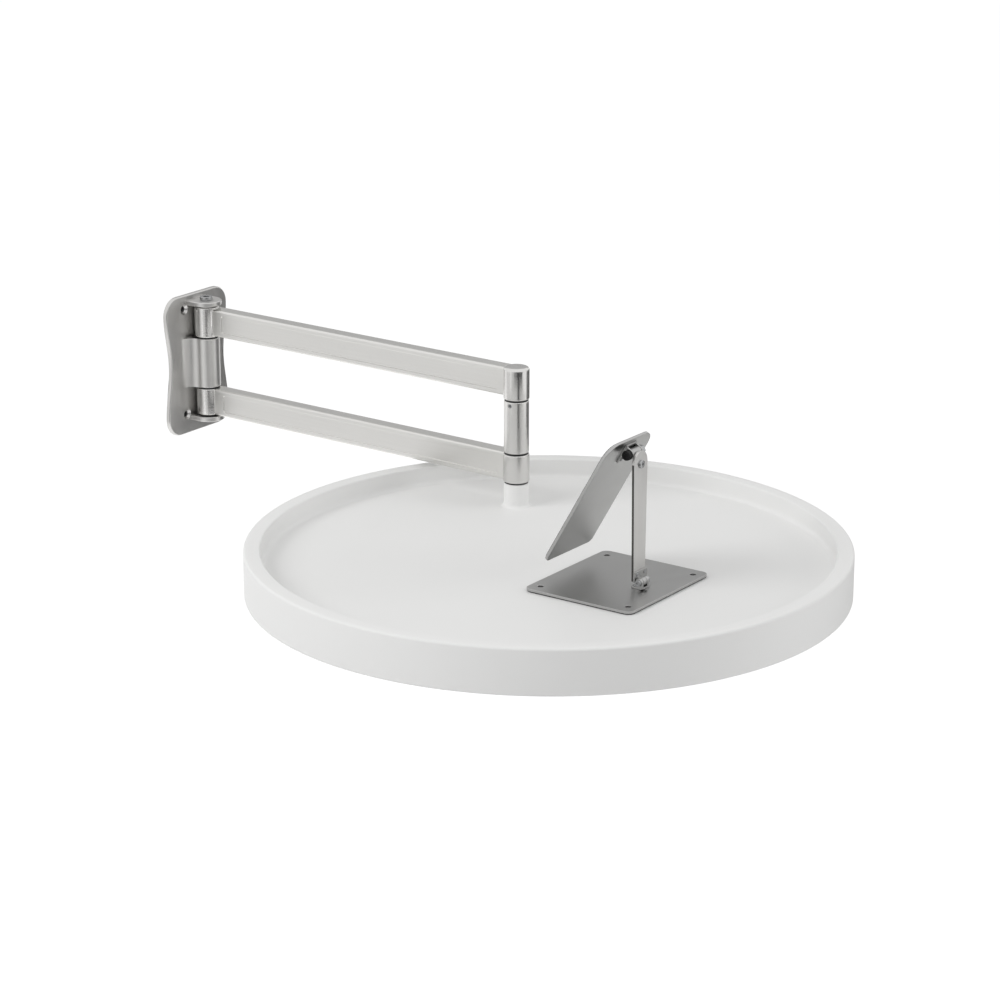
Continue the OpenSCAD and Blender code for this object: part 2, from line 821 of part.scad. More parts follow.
module tray_shell() {
    color(white_colour)
        at_tray()
            difference() {
                union() {
                    rotate_extrude($fn = tray_fn)
                        polygon(tray_section());
                    translate([pivot_x, pivot_y, 0])
                        shaft_boss();
                    translate([pivot_x, pivot_y, seat_under])
                        cylinder(d = seat_d, h = seat_t + tray_wall / 2, $fn = round_fn);
                    floor_ribs();
                    cover_posts();
                }
                translate([pivot_x, pivot_y, seat_under - cut])
                    cylinder(r = shaft_d / 2 + seat_gap, h = boss_top - seat_under + 2 * cut, $fn = round_fn);
                translate([pivot_x, pivot_y, seat_under - cut])
                    for (i = [0:flange_screw_count - 1])
                        rotate([0, 0, (i + 0.5) * 360 / flange_screw_count])
                            translate([flange_screw_r, 0, 0])
                                cylinder(r = flange_screw_d / 2 + seat_gap,
                                    h = flange_screw_depth + slip_gap + cut, $fn = small_fn);
                for (i = [0:cover_screws - 1])
                    rotate([0, 0, (i + 0.5) * 360 / cover_screws])
                        translate([cover_screw_r, 0, cover_post_bottom - cut])
                            cylinder(r = cover_screw_d / 2 + seat_gap,
                                h = cover_screw_depth + slip_gap + cut, $fn = small_fn);
            }
}

module tray_base_cover() {
    head_h = (cover_screw_head_d - cover_screw_d) / 2;
    color(white_colour)
        at_tray()
            difference() {
                translate([0, 0, cover_z])
                    turned(cover_r, cover_t, pin_edge, 0, tray_fn);
                for (i = [0:cover_screws - 1])
                    rotate([0, 0, (i + 0.5) * 360 / cover_screws])
                        translate([cover_screw_r, 0, cover_z]) {
                            translate([0, 0, -cut])
                                cylinder(r = cover_screw_d / 2 + slip_gap, h = cover_t + 2 * cut,
                                    $fn = small_fn);
                            cylinder(r1 = cover_screw_head_d / 2 + slip_gap,
                                r2 = cover_screw_d / 2 + slip_gap, h = head_h, $fn = small_fn);
                        }
            }
}

module cover_screw_set() {
    head_h = (cover_screw_head_d - cover_screw_d) / 2;
    color(steel_colour)
        at_tray()
            for (i = [0:cover_screws - 1])
                rotate([0, 0, (i + 0.5) * 360 / cover_screws])
                    translate([cover_screw_r, 0, cover_z])
                        difference() {
                            union() {
                                cylinder(d1 = cover_screw_head_d, d2 = cover_screw_d, h = head_h,
                                    $fn = small_fn);
                                cylinder(d = cover_screw_d, h = cover_t + cover_screw_depth, $fn = small_fn);
                            }
                            translate([0, 0, -cut])
                                hexagon(cover_hex_af, cover_hex_depth + cut);
                        }
}

// Holes of the base plate and its pad
module base_holes(low_z, h) {
    for (x = [-base_hole_dx / 2, base_hole_dx / 2], y = [-base_hole_dy / 2, base_hole_dy / 2])
        translate([x, y, low_z])
            cylinder(d = base_hole_d, h = h, $fn = small_fn);
}

module stand_base_plate() {
    color(steel_colour)
        at_stand()
            difference() {
                translate([0, 0, -base_t])
                    linear_extrude(height = base_t)
                        polygon(round_rect(base_w, base_l, base_corner_r));
                base_holes(-base_t - cut, base_t + 2 * cut);
                for (x = [-foot_rivet_x, foot_rivet_x])
                    translate([x, foot_rivet_y, -base_t - cut])
                        cylinder(r = rivet_d / 2 + seat_gap, h = base_t + 2 * cut, $fn = small_fn);
            }
}

module stand_base_pad() {
    color(black_colour)
        at_stand()
            difference() {
                translate([0, 0, -base_t - base_pad_t])
                    linear_extrude(height = base_pad_t)
                        polygon(round_rect(base_w - 2 * pad_inset, base_l - 2 * pad_inset,
                            base_corner_r - pad_inset));
                base_holes(-base_t - base_pad_t - cut, base_pad_t + 2 * cut);
            }
}

// Outline of the foot hinge's leaf: a tongue under the knuckles and a strip under the strap
function foot_leaf_outline() =
    let (left = foot_left_x, right = -foot_left_x, tongue = foot_right_x + foot_leaf_side,
        front = foot_axis_y - foot_knuckle_r, r = foot_leaf_corner_r)
    concat(
        arc([right - r, foot_leaf_back - r], r, 0, 90),
        arc([left + r, foot_leaf_back - r], r, 90, 180),
        arc([left + r, front + r], r, 180, 270),
        arc([tongue - r, front + r], r, 270, 360),
        [[tongue, foot_strip_front]],
        arc([right - r, foot_strip_front + r], r, 270, 360));

// Ear of the foot hinge between two places along X, standing on its leaf
module foot_ear(x0, x1) {
    translate([0, foot_axis_y, foot_axis_z])
        x_rod(x0, x1, foot_knuckle_r);
    block([x0, foot_axis_y - foot_knuckle_r, leaf_t / 2],
        [x1, foot_axis_y + foot_knuckle_r, foot_axis_z]);
}

module foot_hinge_leaf() {
    color(steel_colour)
        at_stand()
            difference() {
                union() {
                    linear_extrude(height = leaf_t)
                        polygon(foot_leaf_outline());
                    foot_ear(foot_left_x, foot_left_x + foot_ear_w);
                    foot_ear(right_ear_x, foot_right_x);
                }
                translate([0, foot_axis_y, foot_axis_z])
                    x_rod(-hinge_w, hinge_w, foot_pin_d / 2 + seat_gap);
                for (x = [-foot_rivet_x, foot_rivet_x])
                    translate([x, foot_rivet_y, -cut])
                        cylinder(r = rivet_d / 2 + seat_gap, h = leaf_t + 2 * cut, $fn = small_fn);
            }
}

module foot_leaf_rivets() {
    color(bright_colour)
        at_stand()
            for (x = [-foot_rivet_x, foot_rivet_x])
                translate([x, foot_rivet_y, 0]) {
                    translate([0, 0, leaf_t])
                        turned(rivet_head_d / 2, rivet_head_h, 0, rivet_head_h / 2, small_fn);
                    translate([0, 0, -base_t])
                        cylinder(d = rivet_d, h = base_t + leaf_t + rivet_head_h / 2, $fn = small_fn);
                }
}

// Socket screw along X: the head's outer face is at x0, the shank ends at x1
module x_screw(x0, x1, d, head_d, head_h, hex_af) {
    difference() {
        union() {
            x_rod(x0, x0 + head_h, head_d / 2);
            x_rod(x0 + head_h / 2, x1, d / 2);
        }
        translate([x0 - cut, 0, 0])
            rotate([0, 90, 0])
                hexagon(hex_af, head_h * head_hex_depth_share + cut);
    }
}

// Nut along X with its inner face at x0
module x_nut(x0, af, h, bore_r) {
    difference() {
        translate([x0, 0, 0])
            rotate([0, 90, 0])
                hexagon(af, h);
        x_rod(x0 - cut, x0 + h + cut, bore_r);
    }
}

module foot_hinge_screw() {
    color(steel_colour)
        at_stand()
            translate([0, foot_axis_y, foot_axis_z])
                x_screw(foot_left_x - foot_head_h, foot_right_x + foot_nut_h + pin_end,
                    foot_pin_d, foot_head_d, foot_head_h, foot_head_hex_af);
}

module foot_hinge_nut() {
    color(steel_colour)
        at_stand()
            translate([0, foot_axis_y, foot_axis_z])
                x_nut(foot_right_x, foot_nut_af, foot_nut_h, foot_pin_d / 2 + seat_gap);
}

module strap() {
    top_r = strap_top_w / 2;
    half_foot = strap_foot_w / 2;
    color(bright_colour)
        at_stand()
            difference() {
                translate([0, strap_back_y, 0])
                    rotate([90, 0, 0])
                        linear_extrude(height = strap_t)
                            polygon(concat([[-half_foot, strap_foot_z], [half_foot, strap_foot_z]],
                                arc([0, strap_top_z - top_r], top_r, 0, 180, 2 * arc_steps)));
                translate([0, 0, strap_screw_z])
                    y_rod(strap_back_y + cut, strap_t + 2 * cut, strap_screw_d / 2 + slip_gap);
                for (x = [-strap_rivet_x, strap_rivet_x])
                    translate([x, 0, foot_axis_z + strap_rivet_up])
                        y_rod(strap_back_y + cut, strap_t + 2 * cut, rivet_d / 2 + seat_gap);
            }
}

module strap_hinge_leaf() {
    half = hinge_w / 2 - strap_leaf_side;
    leaf_front = strap_front_y - leaf_t;
    x0 = strap_knuckle_x;
    x1 = strap_knuckle_x + strap_knuckle_w;
    color(alu_colour)
        at_stand()
            difference() {
                union() {
                    block([-half, leaf_front, foot_axis_z - strap_leaf_down],
                        [half, strap_front_y, foot_axis_z + strap_leaf_up]);
                    translate([0, foot_axis_y, foot_axis_z])
                        x_rod(x0, x1, foot_knuckle_r);
                    block([x0, foot_axis_y, foot_axis_z - neck_down],
                        [x1, leaf_front + leaf_t / 2, foot_axis_z + foot_knuckle_r]);
                }
                translate([0, foot_axis_y, foot_axis_z])
                    x_rod(-hinge_w, hinge_w, foot_pin_d / 2 + run_gap);
                for (x = [-strap_rivet_x, strap_rivet_x])
                    translate([x, 0, foot_axis_z + strap_rivet_up])
                        y_rod(strap_front_y + cut, leaf_t + 2 * cut, rivet_d / 2 + seat_gap);
            }
}

module strap_leaf_rivets() {
    leaf_front = strap_front_y - leaf_t;
    color(steel_colour)
        at_stand()
            for (x = [-strap_rivet_x, strap_rivet_x])
                translate([x, 0, foot_axis_z + strap_rivet_up]) {
                    translate([0, leaf_front, 0])
                        rotate([90, 0, 0])
                            turned(strap_rivet_head_d / 2, strap_rivet_head_h, 0,
                                strap_rivet_head_h / 2, small_fn);
                    y_rod(strap_back_y, strap_t + leaf_t + strap_rivet_head_h / 2, rivet_d / 2);
                    y_rod(strap_back_y + rivet_tail_h, rivet_tail_h, strap_rivet_head_d / 2);
                }
}

module top_hinge_barrel() {
    half = barrel_plate_w / 2;
    color(steel_colour)
        at_stand()
            difference() {
                union() {
                    block([-half, strap_back_y, strap_screw_z - barrel_plate_down],
                        [half, strap_back_y + barrel_plate_t, top_axis_z]);
                    translate([0, top_axis_y, top_axis_z])
                        x_rod(-top_barrel_w / 2, top_barrel_w / 2, top_barrel_r);
                    block([-half, strap_back_y, top_axis_z - barrel_neck_down],
                        [half, top_axis_y, top_axis_z]);
                }
                translate([0, top_axis_y, top_axis_z])
                    x_rod(-top_barrel_w, top_barrel_w, top_pin_d / 2 + run_gap);
                translate([0, 0, strap_screw_z])
                    y_rod(strap_back_y + barrel_plate_t + cut, barrel_plate_t + 2 * cut,
                        strap_screw_d / 2 + slip_gap);
            }
}

module strap_top_screw() {
    back = strap_back_y + barrel_plate_t + strap_nut_h + pin_end;
    color(steel_colour)
        at_stand()
            translate([0, 0, strap_screw_z])
                difference() {
                    union() {
                        translate([0, strap_front_y, 0])
                            rotate([90, 0, 0])
                                turned(strap_screw_head_d / 2, strap_screw_head_h, 0,
                                    strap_screw_head_h / 2, small_fn);
                        y_rod(back, back - strap_front_y + strap_screw_head_h / 2, strap_screw_d / 2);
                    }
                    translate([0, strap_front_y - strap_screw_head_h + strap_screw_hex_depth, 0])
                        rotate([90, 0, 0])
                            hexagon(strap_screw_hex_af, strap_screw_hex_depth + cut);
                }
}

module strap_top_nut() {
    back = strap_back_y + barrel_plate_t + strap_nut_h;
    color(bright_colour)
        at_stand()
            translate([0, 0, strap_screw_z])
                difference() {
                    translate([0, back, 0])
                        rotate([90, 0, 0])
                            hexagon(strap_nut_af, strap_nut_h);
                    y_rod(back + cut, strap_nut_h + 2 * cut, strap_screw_d / 2 + seat_gap);
                }
}

module holder_clevis() {
    web_front = holder_off - ear_t;
    color(steel_colour)
        at_holder()
            difference() {
                union() {
                    block([-clevis_w / 2, web_front, -clevis_down], [clevis_w / 2, holder_off, clevis_up]);
                    for (x = [-clevis_w / 2, ear_x]) {
                        x_rod(x, x + ear_t, ear_r);
                        block([x, 0, -ear_r], [x + ear_t, holder_off - ear_t / 2, ear_r]);
                    }
                }
                x_rod(-clevis_w, clevis_w, top_pin_d / 2 + seat_gap);
                for (x = [-clevis_rivet_x, clevis_rivet_x])
                    translate([x, 0, clevis_rivet_z])
                        y_rod(holder_off + cut, ear_t + 2 * cut, rivet_d / 2 + seat_gap);
            }
}

module clevis_rivets() {
    web_front = holder_off - ear_t;
    color(bright_colour)
        at_holder()
            for (x = [-clevis_rivet_x, clevis_rivet_x])
                translate([x, 0, clevis_rivet_z]) {
                    translate([0, web_front, 0])
                        rotate([90, 0, 0])
                            turned(rivet_head_d / 2, rivet_head_h, 0, rivet_head_h / 2, small_fn);
                    y_rod(holder_face, holder_t + ear_t + rivet_head_h / 2, rivet_d / 2);
                }
}

module top_hinge_screw() {
    color(black_colour)
        at_holder()
            x_screw(-clevis_w / 2 - top_head_h, clevis_w / 2 + top_nut_h + pin_end,
                top_pin_d, top_head_d, top_head_h, top_head_hex_af);
}

module top_hinge_nut() {
    color(steel_colour)
        at_holder()
            x_nut(clevis_w / 2, top_nut_af, top_nut_h, top_pin_d / 2 + seat_gap);
}

// Outline of the holder, in X and up along the plate, drawn in by an inset
function holder_outline(inset) =
    let (half = holder_w / 2, top = holder_over, foot = holder_foot,
        top_r = holder_top_r - inset, foot_r = holder_foot_r - inset)
    concat(
        arc([half - holder_top_r, top - holder_top_r], top_r, 0, 90),
        arc([-half + holder_top_r, top - holder_top_r], top_r, 90, 180),
        arc([-half + holder_foot_r, foot + holder_foot_r], foot_r, 180, 270),
        arc([half - holder_foot_r, foot + holder_foot_r], foot_r, 270, 360));

module magnet_places() {
    for (x = [-magnet_x, magnet_x], z = [magnet_top_z, magnet_foot_z])
        translate([x, 0, z])
            children();
}

module holder_plate() {
    color(steel_colour)
        at_holder()
            difference() {
                translate([0, holder_face, 0])
                    rotate([90, 0, 0])
                        linear_extrude(height = holder_t)
                            polygon(holder_outline(0));
                for (x = [-clevis_rivet_x, clevis_rivet_x])
                    translate([x, 0, clevis_rivet_z])
                        y_rod(holder_face + cut, holder_t + 2 * cut, rivet_d / 2 + seat_gap);
                magnet_places()
                    y_rod(holder_face + cut, magnet_t + pocket_gap + cut, magnet_d / 2 + pocket_gap);
            }
}

module holder_magnets() {
    color(magnet_colour)
        at_holder()
            magnet_places()
                y_rod(holder_face, magnet_t, magnet_d / 2);
}

module holder_grip_pad() {
    color(black_colour)
        at_holder()
            translate([0, holder_face + grip_t, 0])
                rotate([90, 0, 0])
                    linear_extrude(height = grip_t)
                        polygon(holder_outline(grip_inset));
}

wall_bracket();
wall_pin();
wall_pin_clip();
wall_pivot_washers();
upper_arm();
lower_arm();
wall_end_bushes();
outer_end_bushes();
pivot_shaft();
shaft_collar();
collar_set_screw();
outer_pivot_washers();
flange_screws();
tray_shell();
tray_base_cover();
cover_screw_set();
stand_base_plate();
stand_base_pad();
foot_hinge_leaf();
foot_leaf_rivets();
foot_hinge_screw();
foot_hinge_nut();
strap();
strap_hinge_leaf();
strap_leaf_rivets();
top_hinge_barrel();
strap_top_screw();
strap_top_nut();
holder_clevis();
clevis_rivets();
top_hinge_screw();
top_hinge_nut();
holder_plate();
holder_magnets();
holder_grip_pad();
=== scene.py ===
"""Looks of a wall-mounted swivel table: its finishes, broken edges, moulded tray and studio."""

import json
from math import atan2, cos, pi, radians, sin

import bmesh
import bpy
from bpy.props import FloatProperty, FloatVectorProperty, IntProperty, PointerProperty
from bpy.types import Operator, Panel, PropertyGroup
from mathutils import Matrix, Vector

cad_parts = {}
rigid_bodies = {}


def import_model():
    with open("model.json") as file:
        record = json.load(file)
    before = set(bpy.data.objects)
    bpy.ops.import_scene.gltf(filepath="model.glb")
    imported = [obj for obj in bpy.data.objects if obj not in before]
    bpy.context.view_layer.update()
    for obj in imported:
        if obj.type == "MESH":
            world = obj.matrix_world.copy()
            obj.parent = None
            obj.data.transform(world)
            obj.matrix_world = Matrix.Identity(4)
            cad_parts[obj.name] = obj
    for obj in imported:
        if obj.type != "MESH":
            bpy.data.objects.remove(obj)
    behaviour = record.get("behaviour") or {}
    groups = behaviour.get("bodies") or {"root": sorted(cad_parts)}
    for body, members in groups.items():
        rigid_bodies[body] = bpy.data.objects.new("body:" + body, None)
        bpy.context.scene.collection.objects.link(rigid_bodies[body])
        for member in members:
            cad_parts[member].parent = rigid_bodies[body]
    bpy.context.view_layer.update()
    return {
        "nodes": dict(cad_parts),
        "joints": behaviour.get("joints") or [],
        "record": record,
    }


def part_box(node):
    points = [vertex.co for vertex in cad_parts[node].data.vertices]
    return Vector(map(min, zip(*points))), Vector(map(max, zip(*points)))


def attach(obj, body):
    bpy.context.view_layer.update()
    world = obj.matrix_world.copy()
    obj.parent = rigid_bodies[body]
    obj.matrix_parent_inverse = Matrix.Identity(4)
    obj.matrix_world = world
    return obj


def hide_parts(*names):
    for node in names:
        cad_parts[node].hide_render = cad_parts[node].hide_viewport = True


bl_info = {
    "name": "Swivel Table",
    "version": (1, 0, 0),
    "blender": (4, 5, 0),
    "location": "3D View > Sidebar > Swivel Table",
    "description": "Dresses a wall-mounted swivel table and lights it in a studio",
    "category": "Object",
}

# The startup file's own cube, lamp and camera go first
for leftover in list(bpy.data.objects):
    bpy.data.objects.remove(leftover)
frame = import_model()

MM = 0.001

# Body that each CAD piece moves with
BODY_OF = {
    node: body
    for body, nodes in frame["record"]["behaviour"]["bodies"].items()
    for node in nodes
}
JOINTS = {joint["name"]: joint for joint in frame["joints"]}
HINGE = Vector(JOINTS["arm_swing"]["pos_m"])
SHAFT = Vector(JOINTS["tray_swivel"]["pos_m"])
# Radius of the knuckles on both, from the far end of the upper arm
KNUCKLE_R = SHAFT.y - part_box("upper_arm")[0].y

# Corners sharper than this are real edges, which get broken
EDGE_ANGLE = radians(32)
# Triangles that lie flatter than this are one face
FLAT_ANGLE = radians(0.2)
# Points closer than this are one point
WELD = 0.01 * MM
# How far a facet's points may lie from the true radius
ROUND_SLACK = 0.03 * MM
# Faces of a round skin look along its radius by at least this much, as a cosine
ROUND_FACING = 0.95
# How far a knuckle's faces may lie from its true radius
KNUCKLE_SLACK = 0.1 * MM
# Most of a noise texture lies between these two values
NOISE_LOW, NOISE_HIGH = 0.3, 0.7


def linear(code):
    """Linear colour with full alpha, from an sRGB hex value."""
    parts = [int(code[i : i + 2], 16) / 255 for i in (1, 3, 5)]
    return [p / 12.92 if p <= 0.04045 else ((p + 0.055) / 1.055) ** 2.4 for p in parts] + [1.0]


def length(name, description, default):
    """A length in metres, shown in the scene's own unit."""
    return FloatProperty(
        name=name, description=description, default=default, min=0.0,
        subtype="DISTANCE", unit="LENGTH",
    )


def shade(name, description, code):
    """A colour, whose default is an sRGB hex value."""
    return FloatVectorProperty(
        name=name, description=description, default=linear(code), size=4, min=0.0, max=1.0,
        subtype="COLOR",
    )


def angle(name, description, degrees):
    """An angle, shown in degrees."""
    return FloatProperty(
        name=name, description=description, default=radians(degrees),
        subtype="ANGLE", unit="ROTATION",
    )


class TraySizes(PropertyGroup):
    """Sizes of the moulded tray that its box doesn't give."""

    rim_width: length("Rim width", "Width of the rim's flat top with its roundings", 13 * MM)
    recess: length("Recess", "Depth of the tray's recess below the rim", 15.5 * MM)
    height: length("Height", "Height of the tray's side", 35.5 * MM)
    wall: length("Wall", "Thickness of the moulded walls", 3.5 * MM)
    cove: length("Cove", "Radius where the recess's side meets its floor", 4 * MM)
    outer_edge: length("Outer edge", "Rounding of the rim's outer edge", 2.2 * MM)
    inner_edge: length("Inner edge", "Rounding of the rim's inner edge", 1.5 * MM)
    skirt_edge: length("Skirt edge", "Rounding of the tray's lower edge", 1.5 * MM)
    boss_radius: length("Boss radius", "Radius of the boss round the shaft", 10 * MM)
    boss_bore: length("Boss bore", "Radius of the shaft's hole in the boss", 6.02 * MM)
    boss_fillet: length("Boss fillet", "Fillet from the boss into the floor", 3 * MM)
    boss_edge: length("Boss edge", "Rounding of the boss's top edge", 1 * MM)
    segments: IntProperty(
        name="Segments", description="Steps round the tray", default=256, min=32, max=720
    )


class EdgeSizes(PropertyGroup):
    """Widths of the broken edges."""

    bar: length("Bar", "Broken edges of the arms", 0.3 * MM)
    turned: length("Turned", "Broken edges of turned pieces", 0.25 * MM)
    sheet: length("Sheet", "Broken edges of sheet metal", 0.3 * MM)
    small: length("Small", "Broken edges of screws, nuts and rivets", 0.12 * MM)
    soft: length("Soft", "Broken edges of pads and plastic", 0.2 * MM)


class FinishColours(PropertyGroup):
    """Base colours of the finishes."""

    cast_aluminium: shade("Cast aluminium", "Wall bracket", "#d2d1cf")
    bar_aluminium: shade("Extruded aluminium", "Bars of the arms", "#e4e3e0")
    turned_aluminium: shade("Turned aluminium", "Knuckles and collar", "#dddcda")
    zinc: shade("Zinc-plated steel", "Pins, nuts and rivets", "#b4b5b6")
    black_oxide: shade("Black oxide steel", "Socket screws", "#1c1c1d")
    sheet_steel: shade("Stainless sheet", "Base plate, hinge leaves and holder", "#b6b6b5")
    strap_steel: shade("Brushed stainless strap", "Strap of the stand", "#dcdbd9")
    # Painted shade: the strap's long edges are drawn this much darker than its faces
    shaded_cut_edge: shade("Laser-cut edge", "Long edges of the strap", "#5f5e5c")
    nickel: shade("Nickel plate", "Magnets", "#b9b4aa")
    bronze: shade("Sintered bronze", "Bushes", "#a37f4c")
    nylon: shade("Black nylon", "Washers", "#141415")
    abs_white: shade("Moulded ABS", "Tray and its cover", "#ececeb")
    rubber: shade("Rubber", "Pads of the stand", "#262627")


class StudioSettings(PropertyGroup):
    """Camera, floor and light."""

    turn: angle("Turn", "Camera's turn round the object", -54.47)
    tilt: angle("Tilt", "Camera's height angle", 17.66)
    away: length("Distance", "Distance from the aim to the camera", 2.2)
    aim: FloatVectorProperty(
        name="Aim", description="Point that the camera looks at",
        default=(-0.2367, -0.4897, 0.0241), size=3, subtype="XYZ_LENGTH", unit="LENGTH",
    )
    lens: FloatProperty(
        name="Lens", description="Focal length of the camera", default=111.96, min=1.0,
        unit="CAMERA",
    )
    floor_drop: length("Floor", "Depth of the floor below the origin", 0.75)
    floor_size: length("Floor size", "Side of the square floor", 30.0)
    sky: FloatProperty(name="Sky", description="Plain light from all round", default=0.62, min=0.0)
    background: FloatProperty(
        name="Background", description="White that the camera and gloss see", default=1.0, min=0.0
    )
    floor_glow: FloatProperty(
        name="Floor glow", description="Lifts the floor to white where it is seen", default=0.52,
        min=0.0,
    )
    floor_paint: shade("Floor paint", "Pale floor", "#e6e6e6")


def add(tree, kind, settings=None, links=None):
    """Adds a node, sets its properties and sockets, and links its sockets to outputs."""
    node = tree.nodes.new(kind)
    for key, value in (settings or {}).items():
        if isinstance(key, str) and hasattr(node, key):
            setattr(node, key, value)
        else:
            node.inputs[key].default_value = value
    for key, output in (links or {}).items():
        tree.links.new(output, node.inputs[key])
    return node


def start(name, **sockets):
    """A new material with one shader, whose sockets are named with low lines for spaces."""
    material = bpy.data.materials.new(name)
    material.use_nodes = True
    tree = material.node_tree
    tree.nodes.clear()
    settings = {key.replace("_", " "): value for key, value in sockets.items()}
    shader = add(tree, "ShaderNodeBsdfPrincipled", settings)
    add(tree, "ShaderNodeOutputMaterial", {}, {"Surface": shader.outputs["BSDF"]})
    return material, tree, shader


def grains(tree, size, stretch=(1, 1, 1), turn=0.0, detail=2.0):
    """Noise with grains of a real size in metres, drawn out along its axes by the stretch."""
    place = add(tree, "ShaderNodeTexCoord")
    grid = add(
        tree, "ShaderNodeMapping",
        {"vector_type": "TEXTURE", "Rotation": (0, 0, turn), "Scale": stretch},
        {"Vector": place.outputs["Object"]},
    )
    return add(
        tree, "ShaderNodeTexNoise", {"Scale": 1 / size, "Detail": detail},
        {"Vector": grid.outputs["Vector"]},
    )


def vary(tree, shader, noise, socket, low, high):
    """A shader's number runs from low to high with the noise."""
    span = add(
        tree, "ShaderNodeMapRange",
        {"From Min": NOISE_LOW, "From Max": NOISE_HIGH, "To Min": low, "To Max": high},
        {"Value": noise.outputs["Fac"]},
    )
    tree.links.new(span.outputs["Result"], shader.inputs[socket])


def tint(tree, shader, noise, colour, share):
    """The base colour darkens by a share with the noise."""
    dark = [c * (1 - share) for c in colour[:3]] + [1.0]
    # Sockets 6 and 7 are the mix's two colours, and output 2 is the mixed one
    blend = add(
        tree, "ShaderNodeMix", {"data_type": "RGBA", 6: dark, 7: list(colour)},
        {0: noise.outputs["Fac"]},
    )
    tree.links.new(blend.outputs[2], shader.inputs["Base Color"])


def relief(tree, shader, noise, depth):
    """The noise stands up from the surface by a real depth in metres."""
    bump = add(
        tree, "ShaderNodeBump", {"Strength": 1.0, "Distance": depth},
        {"Height": noise.outputs["Fac"]},
    )
    tree.links.new(bump.outputs["Normal"], shader.inputs["Normal"])


def cast_aluminium(colours):
    """Aluminium casting, bead blasted and anodised.

    Blasting leaves an even, fine dimpled skin that spreads reflections softly.
    """
    material, tree, shader = start("cast_aluminium_blasted", Metallic=1.0, Roughness=0.36)
    # Bead dimples are about 0.1 mm wide and are drawn at 0.9 mm, the finest that shows
    dimples = grains(tree, 0.9 * MM)
    relief(tree, shader, dimples, 0.006 * MM)
    # The blast's overlapping passes are some 18 mm wide
    clouds = grains(tree, 18 * MM)
    vary(tree, shader, clouds, "Roughness", 0.33, 0.4)
    tint(tree, shader, clouds, colours.cast_aluminium, 0.06)
    return material


def bar_aluminium(colours):
    """Extruded aluminium, brushed along the bar and anodised in a satin finish.

    Brushing leaves fine lines along the length, so the broad face is soft and even.
    """
    material, tree, shader = start("extruded_aluminium_satin", Metallic=1.0, Roughness=0.3)
    along = atan2(SHAFT.y - HINGE.y, SHAFT.x - HINGE.x)
    # Brush lines are under 0.1 mm apart and are drawn at 0.8 mm, which the camera can tell apart
    lines = grains(tree, 0.8 * MM, stretch=(70, 1, 1), turn=along)
    relief(tree, shader, lines, 0.004 * MM)
    # The brush's pressure varies over some 25 mm across the bar and 100 mm along it
    clouds = grains(tree, 25 * MM, stretch=(4, 1, 1), turn=along)
    vary(tree, shader, clouds, "Roughness", 0.28, 0.33)
    tint(tree, shader, lines, colours.bar_aluminium, 0.05)
    return material


def turned_aluminium(colours):
    """Aluminium turned on a lathe and anodised.

    The tool leaves faint rings round the axis, and the surface is glossier than the bars.
    """
    material, tree, shader = start("turned_aluminium_satin", Metallic=1.0, Roughness=0.24)
    # Feed rings are about 0.1 mm apart and are drawn at 0.8 mm
    rings = grains(tree, 0.8 * MM, stretch=(80, 80, 1))
    vary(tree, shader, rings, "Roughness", 0.21, 0.27)
    tint(tree, shader, rings, colours.turned_aluminium, 0.05)
    return material


def zinc_steel(colours):
    """Steel, zinc plated and passivated.

    Plating gives a bright, slightly clouded surface with a cool cast.
    """
    material, tree, shader = start("zinc_plated_steel", Metallic=1.0, Roughness=0.25)
    # The passivation's clouds are some 1.5 mm across
    clouds = grains(tree, 1.5 * MM)
    vary(tree, shader, clouds, "Roughness", 0.2, 0.32)
    tint(tree, shader, clouds, colours.zinc, 0.12)
    relief(tree, shader, clouds, 0.004 * MM)
    return material


def black_oxide(colours):
    """Steel, blackened in a hot oxide bath and oiled.

    The oxide is thin, so it is near black with a low metal gleam.
    """
    material, tree, shader = start("black_oxide_steel", Metallic=0.6, Roughness=0.36)
    # Drying oil leaves patches some 1.2 mm across
    clouds = grains(tree, 1.2 * MM)
    vary(tree, shader, clouds, "Roughness", 0.3, 0.45)
    tint(tree, shader, clouds, colours.black_oxide, 0.3)
    return material


def sheet_steel(colours):
    """Stainless sheet, laser cut and finished with a fine orbital grain.

    The grain has no direction and is too fine to see, so it only makes reflections soft.
    """
    material, tree, shader = start("stainless_sheet_satin", Metallic=1.0, Roughness=0.3)
    # The sander's rounds leave faint clouds some 14 mm across
    clouds = grains(tree, 14 * MM)
    vary(tree, shader, clouds, "Roughness", 0.29, 0.34)
    tint(tree, shader, clouds, colours.sheet_steel, 0.05)
    return material


def strap_steel(colours):
    """Stainless strip, brushed along its length.

    The brush leaves straight lines up the strap that catch the light one by one.
    """
    material, tree, shader = start("stainless_strip_brushed", Metallic=1.0, Roughness=0.3)
    # Brush lines are about 0.1 mm apart and are drawn at 0.4 mm
    lines = grains(tree, 0.4 * MM, stretch=(1, 1, 120))
    relief(tree, shader, lines, 0.01 * MM)
    vary(tree, shader, lines, "Roughness", 0.29, 0.38)
    tint(tree, shader, lines, colours.strap_steel, 0.14)
    return material


def shaded_cut_edge(colours):
    """Edge of stainless strip, laser cut and left as it is.

    The heat leaves a dull skin with fine ridges across the edge; its darker colour than the faces
    is painted shade on the strap's long sides.
    """
    material, tree, shader = start("stainless_cut_edge_painted_shade", Metallic=1.0, Roughness=0.45)
    # Ridges are about 0.1 mm apart and are drawn at 0.5 mm
    ridges = grains(tree, 0.5 * MM, stretch=(8, 8, 1))
    vary(tree, shader, ridges, "Roughness", 0.4, 0.52)
    tint(tree, shader, ridges, colours.shaded_cut_edge, 0.2)
    return material


